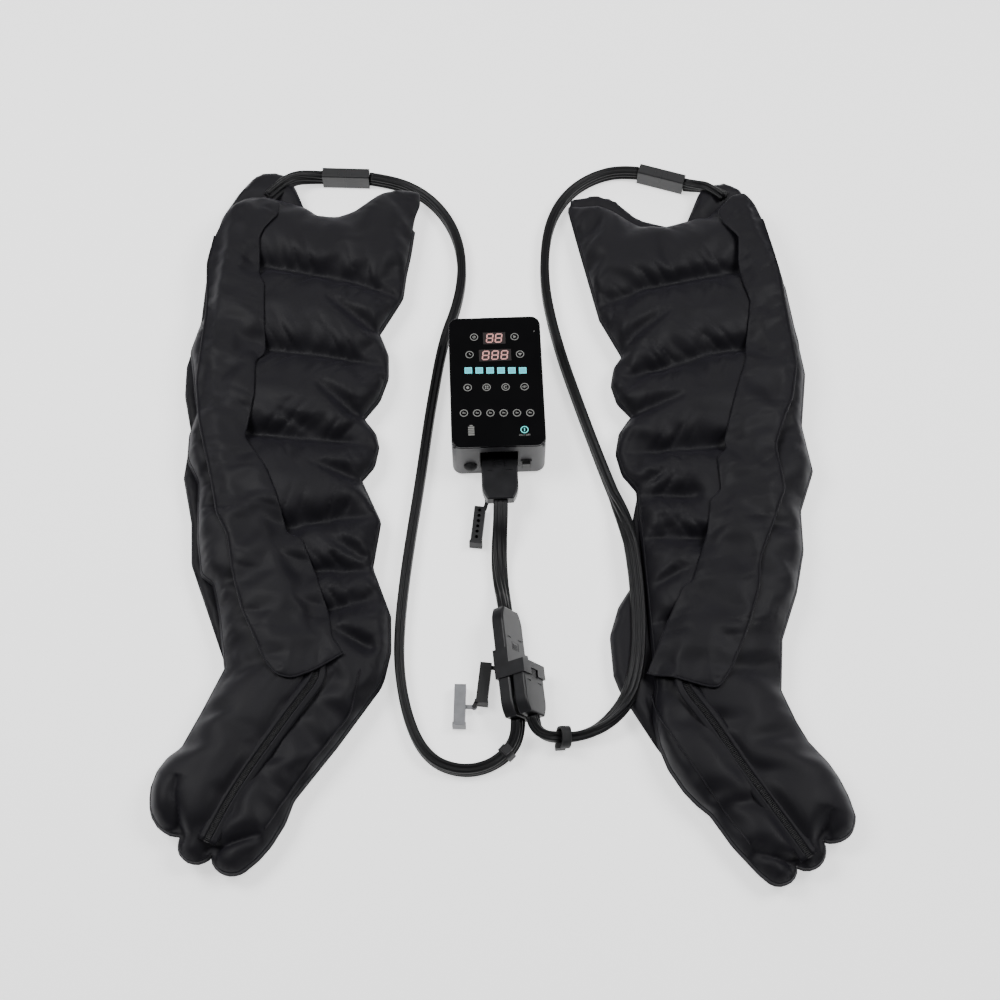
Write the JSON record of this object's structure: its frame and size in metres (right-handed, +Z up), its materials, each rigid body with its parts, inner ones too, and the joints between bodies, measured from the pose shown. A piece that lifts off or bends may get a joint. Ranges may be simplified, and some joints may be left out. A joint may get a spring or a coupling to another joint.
{
  "type": "compression therapy pump",
  "caption": "Table-top air pump with a touch panel, joined by ribbon-like hoses and a splitter to quilted full-leg compression sleeves.",
  "frame": {"origin": "centre of the pump's footprint, on the floor under its feet", "axes": "+X to the right of the pump seen from its socket end, +Y along the pump away from its socket end, +Z up"},
  "size_m": [0.8604, 1.0645, 0.08],
  "materials": {
    "case_grey": "satin",
    "panel_black": "gloss",
    "black_plastic": "satin",
    "plug_black": "gloss",
    "hose_grey": "satin",
    "nylon": "satin",
    "zip_plastic": "satin",
    "zip_metal": "satin",
    "soft_rubber": "matte",
    "silver_rubber": "satin",
    "steel": "satin",
    "board": "satin",
    "lamp_red": "gloss",
    "lamp_cyan": "gloss",
    "wrap": "gloss",
    "inner_white": "satin"
  },
  "bodies": {
    "therapy_set": {"pump_lower_case": "case_grey", "pump_upper_case": "case_grey", "touch_panel": "panel_black", "rubber_feet": "soft_rubber", "case_screws": "steel", "outlet_socket": "black_plastic", "dc_jack": "black_plastic", "rocker_bezel": "black_plastic", "control_board": "board", "digit_displays": "lamp_red", "zone_lamps": "lamp_cyan", "compressor_body": "steel", "compressor_head": "inner_white", "valve_manifold": "inner_white", "solenoid_valves": "steel", "air_tubes": "hose_grey", "battery_pack": "wrap", "pump_plug": "plug_black", "hub_plug": "plug_black", "left_leg_plug": "plug_black", "right_leg_plug": "plug_black", "splitter_block": "plug_black", "main_hose": "hose_grey", "left_hose": "hose_grey", "right_hose": "hose_grey", "left_pigtail": "hose_grey", "right_pigtail": "hose_grey", "left_hose_strap": "black_plastic", "right_hose_strap": "black_plastic", "left_coupling_hose_half": "black_plastic", "left_coupling_sleeve_half": "black_plastic", "right_coupling_hose_half": "black_plastic", "right_coupling_sleeve_half": "black_plastic", "left_sleeve_back": "nylon", "left_sleeve_front": "nylon", "left_sleeve_seam": "nylon", "left_sleeve_flap": "nylon", "left_zipper": "zip_plastic", "right_sleeve_back": "nylon", "right_sleeve_front": "nylon", "right_sleeve_seam": "nylon", "right_sleeve_flap": "nylon", "right_zipper": "zip_plastic"},
    "dc_jack_cap_body": {"dc_jack_cap": "soft_rubber"},
    "power_rocker_body": {"power_rocker": "black_plastic"},
    "compressor_eccentric_body": {"compressor_eccentric": "steel"},
    "pump_plug_latch_body": {"pump_plug_latch": "plug_black"},
    "hub_plug_latch_body": {"hub_plug_latch": "plug_black"},
    "left_leg_plug_latch_body": {"left_leg_plug_latch": "plug_black"},
    "right_leg_plug_latch_body": {"right_leg_plug_latch": "plug_black"},
    "stopper_1_body": {"stopper_1": "soft_rubber"},
    "stopper_2_body": {"stopper_2": "soft_rubber"},
    "stopper_3_body": {"stopper_3": "silver_rubber"},
    "left_zip_slider_body": {"left_zip_slider": "zip_metal"},
    "right_zip_slider_body": {"right_zip_slider": "zip_metal"}
  },
  "joints": [
    {"name": "power_rocker_pivot", "type": "hinge", "parent": "therapy_set", "child": "power_rocker_body", "pos_m": [0.036, -0.099, 0.0295], "axis": [1, 0, 0], "range_deg": [-22, 0]},
    {"name": "dc_jack_cap_hinge", "type": "hinge", "parent": "therapy_set", "child": "dc_jack_cap_body", "pos_m": [-0.038, -0.1019, 0.0173], "axis": [1, 0, 0], "range_deg": [0, 110]},
    {"name": "compressor_crank", "type": "hinge", "parent": "therapy_set", "child": "compressor_eccentric_body", "pos_m": [0.026, 0.03, 0.027], "axis": [0, 1, 0], "continuous": true},
    {"name": "pump_plug_latch_flex", "type": "hinge", "parent": "therapy_set", "child": "pump_plug_latch_body", "pos_m": [0, -0.1087, 0.0405], "axis": [1, 0, 0], "range_deg": [-5.5, 0], "stiffness_Nm_per_rad": 0.05},
    {"name": "hub_plug_latch_flex", "type": "hinge", "parent": "therapy_set", "child": "hub_plug_latch_body", "pos_m": [0.0097, -0.35375, 0.03179], "axis": [-0.5286, -0.037, 0.848], "range_deg": [-5.5, 0], "stiffness_Nm_per_rad": 0.05},
    {"name": "left_leg_plug_latch_flex", "type": "hinge", "parent": "therapy_set", "child": "left_leg_plug_latch_body", "pos_m": [0.00068, -0.40711, 0.02384], "axis": [-0.5286, -0.037, 0.848], "range_deg": [-5.5, 0], "stiffness_Nm_per_rad": 0.05},
    {"name": "right_leg_plug_latch_flex", "type": "hinge", "parent": "therapy_set", "child": "right_leg_plug_latch_body", "pos_m": [0.03114, -0.40498, 0.04292], "axis": [0.5286, 0.037, -0.848], "range_deg": [-5.5, 0], "stiffness_Nm_per_rad": 0.05},
    {"name": "stopper_1_swing", "type": "hinge", "parent": "therapy_set", "child": "stopper_1_body", "pos_m": [-0.017, -0.143, 0.011], "axis": [0, 0, 1], "range_deg": [-30, 0]},
    {"name": "stopper_2_swing", "type": "hinge", "parent": "therapy_set", "child": "stopper_2_body", "pos_m": [-0.0135, -0.379, 0.011], "axis": [0, 0, 1], "range_deg": [-25, 0]},
    {"name": "stopper_3_swing", "type": "hinge", "parent": "stopper_2_body", "child": "stopper_3_body", "pos_m": [-0.0435, -0.4293, 0.011], "axis": [0, 0, 1], "range_deg": [-12, 20]},
    {"name": "left_zip_slide", "type": "slide", "parent": "therapy_set", "child": "left_zip_slider_body", "axis": [-0.1071, -0.9943, 0], "range_m": [0, 0.1]},
    {"name": "right_zip_slide", "type": "slide", "parent": "therapy_set", "child": "right_zip_slider_body", "axis": [0.2205, -0.9754, 0], "range_m": [0, 0.1]}
  ]
}
